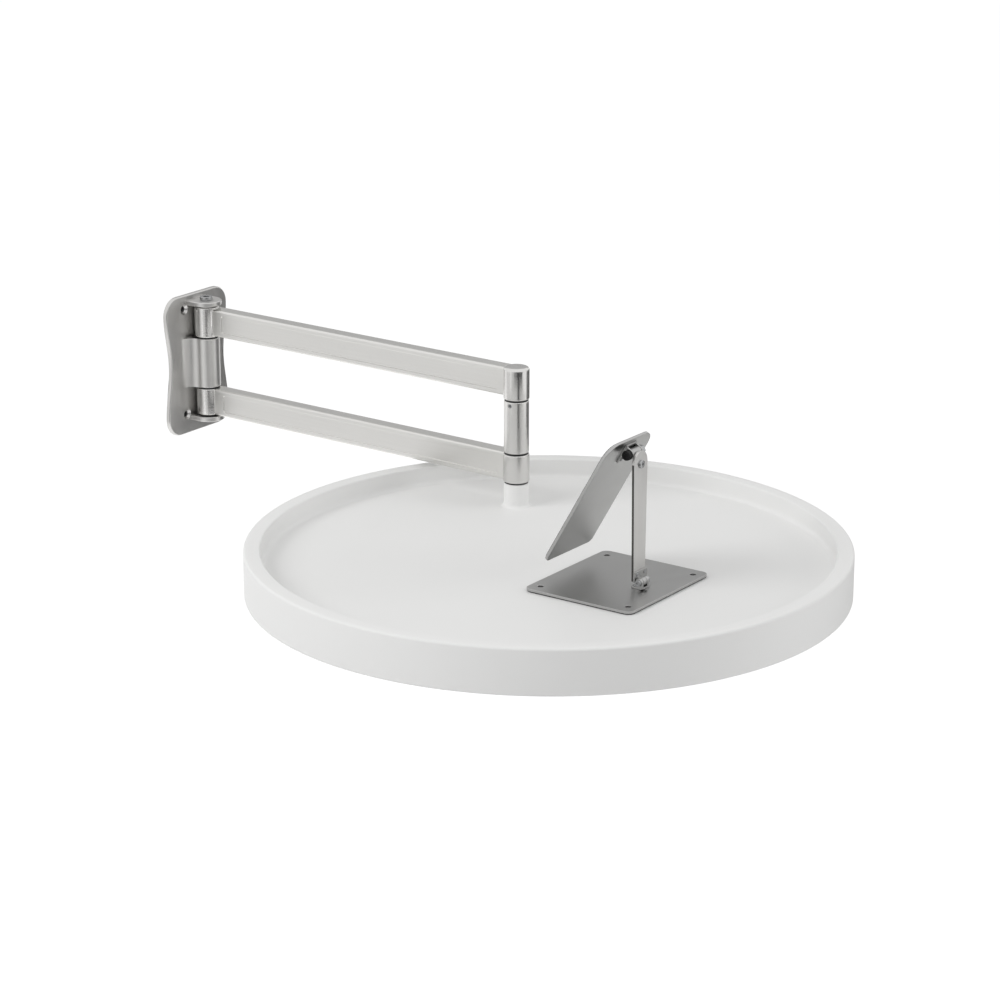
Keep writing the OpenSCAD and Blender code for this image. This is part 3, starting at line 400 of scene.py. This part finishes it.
def nickel_plate(colours):
    """Magnet with a bright nickel plating, warm and glossy, with faint orange peel."""
    material, tree, shader = start("nickel_plated_magnet", Metallic=1.0, Roughness=0.14)
    # Orange peel is about 0.8 mm from crest to crest
    peel = grains(tree, 0.8 * MM)
    relief(tree, shader, peel, 0.003 * MM)
    vary(tree, shader, peel, "Roughness", 0.1, 0.18)
    tint(tree, shader, peel, colours.nickel, 0.08)
    return material


def sintered_bronze(colours):
    """Bronze powder, pressed and sintered, soaked in oil.

    Pores between the powder grains leave dark specks and a dull gleam.
    """
    material, tree, shader = start("sintered_bronze", Metallic=1.0, Roughness=0.4)
    # Powder grains are about 0.1 mm wide and are drawn at 0.25 mm
    pores = grains(tree, 0.25 * MM, detail=1.0)
    relief(tree, shader, pores, 0.02 * MM)
    vary(tree, shader, pores, "Roughness", 0.34, 0.5)
    tint(tree, shader, pores, colours.bronze, 0.4)
    return material


def black_nylon(colours):
    """Black nylon, moulded thin: dull, with a faint waxy gleam and a fine moulded grain."""
    material, tree, shader = start("black_nylon_moulded", Metallic=0.0, Roughness=0.5, IOR=1.53)
    # The moulded grain is about 0.2 mm wide and is drawn at 0.5 mm
    skin = grains(tree, 0.5 * MM)
    relief(tree, shader, skin, 0.006 * MM)
    vary(tree, shader, skin, "Roughness", 0.44, 0.56)
    tint(tree, shader, skin, colours.nylon, 0.25)
    return material


def moulded_abs(colours):
    """White ABS, injection moulded in a spark-eroded mould.

    The mould's texture makes it matt, with only a broad soft sheen at grazing angles.
    """
    material, tree, shader = start("white_abs_moulded", Metallic=0.0, Roughness=0.5, IOR=1.54)
    # Spark texture is about 0.1 mm wide and is drawn at 0.6 mm
    skin = grains(tree, 0.6 * MM, detail=3.0)
    relief(tree, shader, skin, 0.008 * MM)
    # The melt's flow leaves faint clouds some 60 mm across
    clouds = grains(tree, 60 * MM)
    vary(tree, shader, clouds, "Roughness", 0.47, 0.54)
    tint(tree, shader, clouds, colours.abs_white, 0.012)
    return material


def soft_rubber(colours):
    """Rubber sheet, calendered: dark, matt and faintly pebbled."""
    material, tree, shader = start("soft_rubber_sheet", Metallic=0.0, Roughness=0.75, IOR=1.52)
    # The rollers' pebbling is about 0.5 mm wide
    pebbles = grains(tree, 0.5 * MM)
    relief(tree, shader, pebbles, 0.02 * MM)
    vary(tree, shader, pebbles, "Roughness", 0.68, 0.82)
    tint(tree, shader, pebbles, colours.rubber, 0.3)
    return material


# Finish of each of the record's material slots, and of the strap's cut edges, whose darker colour
# is painted shade
FINISHES = {
    "cast_aluminium": cast_aluminium,
    "satin_aluminium": bar_aluminium,
    "turned_aluminium": turned_aluminium,
    "zinc_steel": zinc_steel,
    "black_steel": black_oxide,
    "satin_steel": sheet_steel,
    "brushed_steel": strap_steel,
    "shaded_cut_edge": shaded_cut_edge,
    "nickel_plate": nickel_plate,
    "sintered_bronze": sintered_bronze,
    "black_nylon": black_nylon,
    "white_abs": moulded_abs,
    "soft_rubber": soft_rubber,
}
# Materials made so far, by slot
made = {}


def finish(slot):
    """The material of a slot, made the first time that it is asked for."""
    if slot not in made:
        made[slot] = FINISHES[slot](bpy.context.scene.table_colours)
    return made[slot]


def smooth(shape):
    """Smooth faces with real edges kept sharp."""
    for face in shape.faces:
        face.smooth = True
    for edge in shape.edges:
        edge.smooth = edge.calc_face_angle(0.0) < EDGE_ANGLE


def piece_from(shape, name, slot):
    """A piece of the table from a mesh being built, in its slot's finish."""
    smooth(shape)
    mesh = bpy.data.meshes.new(name)
    shape.to_mesh(mesh)
    shape.free()
    mesh.materials.append(finish(slot))
    piece = bpy.data.objects.new(name, mesh)
    bpy.context.scene.collection.objects.link(piece)
    return piece


def stands_for(piece, node):
    """The piece takes a CAD piece's place and moves with its body."""
    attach(piece, BODY_OF[node])
    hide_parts(node)


def break_edges(piece, width):
    """Rounds every real edge by a small width, as deburring does."""
    bevel = piece.modifiers.new("broken_edges", "BEVEL")
    bevel.limit_method = "ANGLE"
    bevel.angle_limit = EDGE_ANGLE
    bevel.width = width
    bevel.segments = 2
    bevel.use_clamp_overlap = False
    bevel.harden_normals = True


def dress(node, slot, width, name):
    """A finished copy of a CAD piece, with its flat faces joined and its edges broken."""
    shape = bmesh.new()
    shape.from_mesh(frame["nodes"][node].data)
    bmesh.ops.remove_doubles(shape, verts=shape.verts, dist=WELD)
    bmesh.ops.dissolve_limit(shape, angle_limit=FLAT_ANGLE, verts=shape.verts, edges=shape.edges)
    piece = piece_from(shape, name, slot)
    if width:
        break_edges(piece, width)
    stands_for(piece, node)
    return piece


def true_round(piece, axis, radius):
    """Faces on an upright cylinder are shaded as truly round, whatever their triangles."""
    mesh = piece.data
    normals = [Vector(corner.vector) for corner in mesh.corner_normals]
    for face in mesh.polygons:
        for corner in face.loop_indices:
            out = mesh.vertices[mesh.loops[corner].vertex_index].co.xy - axis.xy
            on_skin = abs(out.length - radius) < ROUND_SLACK
            if on_skin and face.normal.xy.dot(out.normalized()) > ROUND_FACING:
                normals[corner] = out.normalized().to_3d()
    mesh.normals_split_custom_set(normals)


def arc(x, z, radius, first, last, steps=8):
    """Points (x, z) of an arc between two angles in degrees."""
    turns = [radians(first + (last - first) * i / steps) for i in range(steps + 1)]
    return [(x + radius * cos(t), z + radius * sin(t)) for t in turns]


def lathe(shape, section, centre, steps):
    """Turns a section of (radius, height) points round an upright axis into closed skin."""
    points = [shape.verts.new((centre.x + r, centre.y, z)) for r, z in section]
    pairs = list(zip(points, points[1:]))
    if section[0][0] > 0:
        pairs.append((points[-1], points[0]))
    edges = [shape.edges.new(pair) for pair in pairs]
    bmesh.ops.spin(
        shape, geom=points + edges, cent=(centre.x, centre.y, 0), axis=(0, 0, 1), angle=2 * pi,
        steps=steps, use_merge=True,
    )
    bmesh.ops.remove_doubles(shape, verts=shape.verts, dist=WELD)


class TableOperator:
    """What every operator of this file shares."""

    bl_options = {"REGISTER", "UNDO"}

    def execute(self, context):
        self.make(context.scene)
        return {"FINISHED"}


class TABLE_OT_wall_bracket(TableOperator, Operator):
    """The waisted casting on the wall, with its lugs and middle knuckle, and a dark sheet behind
    it that paints shade into the screw holes
    """

    bl_idname = "table.wall_bracket"
    bl_label = "Wall Bracket"

    # Points of the plate's back that lie farther out than this, across or up, are its outline
    PAST_HOLES_ACROSS = 20 * MM
    PAST_HOLES_UP = 52 * MM
    # Shares of the plate's width and height that the dark sheet of painted shade covers
    SHADE_SHEET_ACROSS = 0.95
    SHADE_SHEET_UP = 0.97
    SHADE_SHEET_THICKNESS = 0.6 * MM

    def make(self, scene):
        casting = dress("wall_bracket", "cast_aluminium", 0.0, "bracket_casting")
        true_round(casting, HINGE, KNUCKLE_R)
        self.hole_shade_sheet(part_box("wall_bracket"))

    def hole_shade_sheet(self, box):
        """Dark rubber sheet on the plate's back, painted shade that shows dark through the screw
        holes.
        """
        low, high = box
        middle = (low + high) / 2
        rim = {}
        for point in (vert.co for vert in frame["nodes"]["wall_bracket"].data.vertices):
            aside, up = point.x - middle.x, point.z - middle.z
            past_holes = abs(aside) > self.PAST_HOLES_ACROSS or abs(up) > self.PAST_HOLES_UP
            if past_holes and high.y - point.y < WELD:
                rim[round(atan2(up, aside), 3)] = (
                    middle.x + self.SHADE_SHEET_ACROSS * aside, high.y, middle.z + self.SHADE_SHEET_UP * up
                )
        shape = bmesh.new()
        back = shape.faces.new([shape.verts.new(rim[turn]) for turn in sorted(rim)])
        wall_side = bmesh.ops.extrude_face_region(shape, geom=[back], use_keep_orig=True)
        moved = [part for part in wall_side["geom"] if isinstance(part, bmesh.types.BMVert)]
        bmesh.ops.translate(shape, vec=(0, self.SHADE_SHEET_THICKNESS, 0), verts=moved)
        bmesh.ops.recalc_face_normals(shape, faces=shape.faces)
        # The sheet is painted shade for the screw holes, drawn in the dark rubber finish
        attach(piece_from(shape, "painted_hole_shade", "soft_rubber"), "bracket")


class TABLE_OT_wall_hinge(TableOperator, Operator):
    """Pin, retaining ring, washers and bushes of the wall hinge"""

    bl_idname = "table.wall_hinge"
    bl_label = "Wall Hinge"

    def make(self, scene):
        edges = scene.table_edges
        dress("wall_pin", "zinc_steel", edges.turned, "hinge_pin")
        dress("wall_pin_clip", "black_steel", edges.small, "hinge_pin_clip")
        dress("wall_pivot_washers", "black_nylon", edges.small, "hinge_washers")
        dress("wall_end_bushes", "sintered_bronze", edges.small, "hinge_bushes")


class TABLE_OT_arms(TableOperator, Operator):
    """The two bars with their knuckles"""

    bl_idname = "table.arms"
    bl_label = "Arms"

    def make(self, scene):
        for node, name in (("upper_arm", "upper_bar"), ("lower_arm", "lower_bar")):
            piece = dress(node, "satin_aluminium", scene.table_edges.bar, name)
            self.turn_knuckles(piece)

    def turn_knuckles(self, piece):
        """The knuckles' faces get the turned finish."""
        piece.data.materials.append(finish("turned_aluminium"))
        reach = KNUCKLE_R + KNUCKLE_SLACK
        for face in piece.data.polygons:
            centre = face.center.xy
            near = min((centre - HINGE.xy).length, (centre - SHAFT.xy).length)
            face.material_index = int(near < reach)


class TABLE_OT_outer_pivot(TableOperator, Operator):
    """Shaft, collar, set screw, washers and bushes between the arms and the tray"""

    bl_idname = "table.outer_pivot"
    bl_label = "Outer Pivot"

    def make(self, scene):
        edges = scene.table_edges
        dress("pivot_shaft", "zinc_steel", edges.turned, "swivel_shaft")
        collar = dress("shaft_collar", "turned_aluminium", 0.0, "swivel_collar")
        low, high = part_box("shaft_collar")
        true_round(collar, SHAFT, (high.x - low.x) / 2)
        dress("collar_set_screw", "zinc_steel", edges.small, "collar_screw")
        dress("outer_pivot_washers", "black_nylon", edges.small, "swivel_washers")
        dress("outer_end_bushes", "sintered_bronze", edges.small, "swivel_bushes")
        dress("flange_screws", "zinc_steel", edges.small, "shaft_flange_screws")


class TABLE_OT_tray(TableOperator, Operator):
    """The round moulded tray with its boss, and the cover under it"""

    bl_idname = "table.tray"
    bl_label = "Tray"

    BOSS_STEPS = 64

    def make(self, scene):
        sizes = scene.table_tray
        low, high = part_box("tray_shell")
        middle = (low + high) / 2
        shape = bmesh.new()
        rim = low.z + sizes.height
        lathe(shape, self.tray_section(sizes, (high.x - low.x) / 2, rim), middle, sizes.segments)
        lathe(shape, self.boss_section(sizes, rim, high.z), SHAFT, self.BOSS_STEPS)
        bmesh.ops.recalc_face_normals(shape, faces=shape.faces)
        stands_for(piece_from(shape, "tray_moulding", "white_abs"), "tray_shell")
        dress("tray_base_cover", "white_abs", scene.table_edges.soft, "tray_cover")
        dress("cover_screw_set", "zinc_steel", scene.table_edges.small, "tray_cover_screws")

    def tray_section(self, s, outer, rim):
        """Half section of the moulding, from the floor's middle out and back under it."""
        bed = rim - s.recess
        inner = outer - s.rim_width
        foot = rim - s.height
        return (
            [(0, bed)]
            + arc(inner - s.cove, bed + s.cove, s.cove, -90, 0)
            + arc(inner + s.inner_edge, rim - s.inner_edge, s.inner_edge, 180, 90)
            + arc(outer - s.outer_edge, rim - s.outer_edge, s.outer_edge, 90, 0)
            + arc(outer - s.skirt_edge, foot + s.skirt_edge, s.skirt_edge, 0, -90)
            + [(outer - s.wall, foot), (outer - s.wall, rim - s.wall)]
            + [(inner + s.wall, rim - s.wall), (inner + s.wall, bed - s.wall)]
            + [(0, bed - s.wall)]
        )

    def boss_section(self, s, rim, top):
        """Section of the boss round the shaft, let into the floor."""
        bed = rim - s.recess
        return (
            [(s.boss_bore, bed - s.wall / 2), (s.boss_radius + s.boss_fillet, bed - s.wall / 2)]
            + arc(s.boss_radius + s.boss_fillet, bed + s.boss_fillet, s.boss_fillet, -90, -180)
            + arc(s.boss_radius - s.boss_edge, top - s.boss_edge, s.boss_edge, 0, 90)
            + [(s.boss_bore, top)]
        )


class TABLE_OT_stand_base(TableOperator, Operator):
    """The stand's base plate with its pad and the foot hinge"""

    bl_idname = "table.stand_base"
    bl_label = "Stand Base"

    def make(self, scene):
        edges = scene.table_edges
        dress("stand_base_plate", "satin_steel", edges.sheet, "base_sheet")
        dress("stand_base_pad", "soft_rubber", edges.soft, "base_pad")
        dress("foot_hinge_leaf", "satin_steel", edges.sheet, "foot_leaf")
        dress("foot_leaf_rivets", "zinc_steel", edges.small, "foot_rivets")
        dress("foot_hinge_screw", "zinc_steel", edges.small, "foot_screw")
        dress("foot_hinge_nut", "zinc_steel", edges.small, "foot_nut")


class TABLE_OT_strap(TableOperator, Operator):
    """The stand's strap with the hinge parts on it"""

    bl_idname = "table.strap"
    bl_label = "Strap"

    # The walls of holes are made of faces smaller than this
    SMALL_FACE = 20 * MM * MM
    # The strap's long edges look along X by at least this much, as a cosine
    SIDEWAYS = 0.9

    def make(self, scene):
        edges = scene.table_edges
        strap = dress("strap", "brushed_steel", edges.sheet, "upright_strap")
        # The strap's long edges get painted shade, a darker colour than the faces
        strap.data.materials.append(finish("shaded_cut_edge"))
        for face in strap.data.polygons:
            on_edge = abs(face.normal.x) > self.SIDEWAYS and face.area > self.SMALL_FACE
            face.material_index = int(on_edge)
        dress("strap_hinge_leaf", "satin_steel", edges.sheet, "strap_leaf")
        dress("strap_leaf_rivets", "zinc_steel", edges.small, "strap_rivets")
        dress("top_hinge_barrel", "satin_steel", edges.small, "hinge_barrel")
        dress("strap_top_screw", "zinc_steel", edges.small, "strap_screw")
        dress("strap_top_nut", "zinc_steel", edges.small, "strap_nut")


class TABLE_OT_holder(TableOperator, Operator):
    """The tilting holder with its clevis, magnets and grip pad"""

    bl_idname = "table.holder"
    bl_label = "Holder"

    # Ridges round the screw's head: their number, half height, start and length
    RIDGES = 22
    RIDGE = 0.25 * MM
    HEAD_START = 0.5 * MM
    HEAD_LENGTH = 3 * MM

    def make(self, scene):
        edges = scene.table_edges
        dress("holder_plate", "satin_steel", edges.sheet, "holder_sheet")
        dress("holder_clevis", "satin_steel", edges.sheet, "clevis")
        dress("clevis_rivets", "zinc_steel", edges.small, "holder_rivets")
        dress("top_hinge_screw", "black_steel", edges.small, "top_screw")
        dress("top_hinge_nut", "zinc_steel", edges.small, "top_nut")
        dress("holder_magnets", "nickel_plate", edges.small, "magnets")
        dress("holder_grip_pad", "soft_rubber", edges.soft, "grip_pad")
        self.knurl(*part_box("top_hinge_screw"))

    def knurl(self, low, high):
        """Ridges round the head of the top hinge's screw, which lies along X."""
        radius = (high.z - low.z) / 2
        middle = (low + high) / 2
        shape = bmesh.new()
        for i in range(2 * self.RIDGES):
            turn = pi * i / self.RIDGES
            out = radius + (self.RIDGE if i % 2 else -self.RIDGE)
            across, up = out * cos(turn), out * sin(turn)
            shape.verts.new((low.x + self.HEAD_START, middle.y + across, middle.z + up))
        start = shape.faces.new(shape.verts)
        end = bmesh.ops.extrude_face_region(shape, geom=[start], use_keep_orig=True)
        moved = [part for part in end["geom"] if isinstance(part, bmesh.types.BMVert)]
        bmesh.ops.translate(shape, vec=(self.HEAD_LENGTH, 0, 0), verts=moved)
        bmesh.ops.recalc_face_normals(shape, faces=shape.faces)
        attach(piece_from(shape, "top_screw_knurl", "black_steel"), BODY_OF["top_hinge_screw"])


def toward(turn, tilt):
    """Direction from the object, for a turn from -Y and a height angle."""
    return Vector((sin(turn) * cos(tilt), -cos(turn) * cos(tilt), sin(tilt)))


def facing(direction):
    """Rotation that points an object's -Z along a direction."""
    return direction.to_track_quat("-Z", "Y").to_euler()


class TABLE_OT_studio(TableOperator, Operator):
    """Camera, pale floor, white surround, soft lamps and reflection cards"""

    bl_idname = "table.studio"
    bl_label = "Studio"

    # Name, turn, tilt, distance, side and power of each soft lamp
    LAMPS = (
        ("key_lamp", -124, 34, 2.4, 1.3, 22.0),
        ("top_lamp", 20, 78, 2.4, 1.4, 5.0),
        ("right_lamp", 32, 14, 2.4, 1.3, 10.0),
    )
    # Name, aim, turn, tilt, distance, width, height and grey of each card
    CARDS = (
        ("front_card", (0, -0.2, 0), -26, -14, 1.6, 1.4, 1.6, "#303030"),
        ("middle_card", (0, -0.2, 0), -60, -14, 1.65, 0.6, 1.6, "#747474"),
        ("left_card", (0, -0.2, 0), -82, -14, 1.7, 0.7, 1.6, "#d8d8d8"),
        ("side_card", (0, -0.2, 0), -126, -18, 1.7, 1.2, 0.9, "#e4e4e4"),
        ("wall_card", (0, 0, 0), 56, -16, 1.1, 1.0, 0.9, "#6e6e6e"),
        ("top_card", (-0.05, -0.3, 0), 125, 18, 1.6, 1.4, 0.8, "#b4b4b4"),
    )

    def make(self, scene):
        settings = scene.table_studio
        self.camera(scene, settings)
        self.surround(scene, settings)
        self.floor(scene, settings)
        for lamp in self.LAMPS:
            self.lamp(scene, settings, *lamp)
        for card in self.CARDS:
            self.card(scene, *card)
        scene.view_settings.view_transform = "Standard"

    def camera(self, scene, settings):
        data = bpy.data.cameras.new("camera")
        data.lens = settings.lens
        camera = bpy.data.objects.new("camera", data)
        away = toward(settings.turn, settings.tilt)
        camera.location = Vector(settings.aim) + settings.away * away
        camera.rotation_euler = facing(-away)
        scene.collection.objects.link(camera)
        scene.camera = camera

    def seen(self, tree):
        """One for camera, glossy and transmission rays, zero for diffuse and shadow rays."""
        path = add(tree, "ShaderNodeLightPath")
        either = add(
            tree, "ShaderNodeMath", {"operation": "MAXIMUM"},
            {0: path.outputs["Is Camera Ray"], 1: path.outputs["Is Glossy Ray"]},
        )
        return add(
            tree, "ShaderNodeMath", {"operation": "MAXIMUM"},
            {0: either.outputs[0], 1: path.outputs["Is Transmission Ray"]},
        )

    def surround(self, scene, settings):
        """World that lights plainly, and is white where it is seen."""
        world = bpy.data.worlds.new("surround")
        world.use_nodes = True
        tree = world.node_tree
        tree.nodes.clear()
        light = add(tree, "ShaderNodeBackground", {"Strength": settings.sky})
        white = add(tree, "ShaderNodeBackground", {"Strength": settings.background})
        mix = add(
            tree, "ShaderNodeMixShader", {},
            {0: self.seen(tree).outputs[0], 1: light.outputs[0], 2: white.outputs[0]},
        )
        add(tree, "ShaderNodeOutputWorld", {}, {"Surface": mix.outputs[0]})
        for background in (light, white):
            background.inputs["Color"].default_value = (1, 1, 1, 1)
        scene.world = world

    def floor(self, scene, settings):
        """Pale floor that keeps the shadow, is white where it is seen and clear from below."""
        material = bpy.data.materials.new("studio_floor")
        material.use_nodes = True
        tree = material.node_tree
        tree.nodes.clear()
        paint = add(tree, "ShaderNodeBsdfDiffuse", {"Color": list(settings.floor_paint)})
        lift = add(
            tree, "ShaderNodeMath", {"operation": "MULTIPLY", 1: settings.floor_glow},
            {0: self.seen(tree).outputs[0]},
        )
        glow = add(tree, "ShaderNodeEmission", {}, {"Strength": lift.outputs[0]})
        both = add(tree, "ShaderNodeAddShader", {}, {0: paint.outputs[0], 1: glow.outputs[0]})
        side = add(tree, "ShaderNodeNewGeometry")
        clear = add(tree, "ShaderNodeBsdfTransparent")
        mix = add(
            tree, "ShaderNodeMixShader", {},
            {0: side.outputs["Backfacing"], 1: both.outputs[0], 2: clear.outputs[0]},
        )
        add(tree, "ShaderNodeOutputMaterial", {}, {"Surface": mix.outputs[0]})
        self.sheet(
            scene, "studio_floor", material, settings.floor_size, settings.floor_size,
            Matrix.Translation((0, 0, -settings.floor_drop)),
        )

    def lamp(self, scene, settings, name, turn, tilt, away, side, power):
        data = bpy.data.lights.new(name, "AREA")
        data.size = side
        data.energy = power
        lamp = bpy.data.objects.new(name, data)
        direction = toward(radians(turn), radians(tilt))
        lamp.location = Vector(settings.aim) + away * direction
        lamp.rotation_euler = facing(-direction)
        lamp.visible_glossy = False
        scene.collection.objects.link(lamp)

    def card(self, scene, name, aim, turn, tilt, away, width, height, grey):
        """A card that only shows in reflections, so that metal has something darker to mirror."""
        material = bpy.data.materials.new(name)
        material.use_nodes = True
        tree = material.node_tree
        tree.nodes.clear()
        glow = add(tree, "ShaderNodeEmission", {"Color": linear(grey)})
        add(tree, "ShaderNodeOutputMaterial", {}, {"Surface": glow.outputs[0]})
        direction = toward(radians(turn), radians(tilt))
        turned = facing(-direction).to_matrix().to_4x4()
        place = Matrix.Translation(Vector(aim) + away * direction) @ turned
        card = self.sheet(scene, name, material, width, height, place)
        card.visible_camera = False
        card.visible_diffuse = False
        card.visible_transmission = False
        card.visible_shadow = False

    def sheet(self, scene, name, material, width, height, place):
        """A flat sheet of the stage."""
        shape = bmesh.new()
        bmesh.ops.create_grid(shape, x_segments=1, y_segments=1, size=0.5)
        bmesh.ops.scale(shape, vec=(width, height, 1), verts=shape.verts)
        mesh = bpy.data.meshes.new(name)
        shape.to_mesh(mesh)
        shape.free()
        mesh.materials.append(material)
        sheet = bpy.data.objects.new(name, mesh)
        sheet.matrix_world = place
        scene.collection.objects.link(sheet)
        return sheet


MAKERS = (
    TABLE_OT_wall_bracket,
    TABLE_OT_wall_hinge,
    TABLE_OT_arms,
    TABLE_OT_outer_pivot,
    TABLE_OT_tray,
    TABLE_OT_stand_base,
    TABLE_OT_strap,
    TABLE_OT_holder,
    TABLE_OT_studio,
)
GROUPS = {
    "table_tray": TraySizes,
    "table_edges": EdgeSizes,
    "table_colours": FinishColours,
    "table_studio": StudioSettings,
}


class TABLE_PT_panel(Panel):
    """Lists the table's pieces and their settings"""

    bl_idname = "TABLE_PT_panel"
    bl_label = "Swivel Table"
    bl_space_type = "VIEW_3D"
    bl_region_type = "UI"
    bl_category = "Swivel Table"

    def draw(self, context):
        layout = self.layout
        for maker in MAKERS:
            layout.operator(maker.bl_idname)
        for name, group in GROUPS.items():
            box = layout.box()
            for setting in group.__annotations__:
                box.prop(getattr(context.scene, name), setting)


def register():
    """Makes the settings, operators and panel known to Blender."""
    for part in (*GROUPS.values(), *MAKERS, TABLE_PT_panel):
        bpy.utils.register_class(part)
    for name, group in GROUPS.items():
        setattr(bpy.types.Scene, name, PointerProperty(type=group))


def unregister():
    """Takes them out again."""
    for name in GROUPS:
        delattr(bpy.types.Scene, name)
    for part in (TABLE_PT_panel, *reversed(MAKERS), *reversed(GROUPS.values())):
        bpy.utils.unregister_class(part)


def main():
    """Makes every piece and the studio."""
    register()
    bpy.ops.table.wall_bracket()
    bpy.ops.table.wall_hinge()
    bpy.ops.table.arms()
    bpy.ops.table.outer_pivot()
    bpy.ops.table.tray()
    bpy.ops.table.stand_base()
    bpy.ops.table.strap()
    bpy.ops.table.holder()
    bpy.ops.table.studio()


if __name__ == "__main__":
    main()
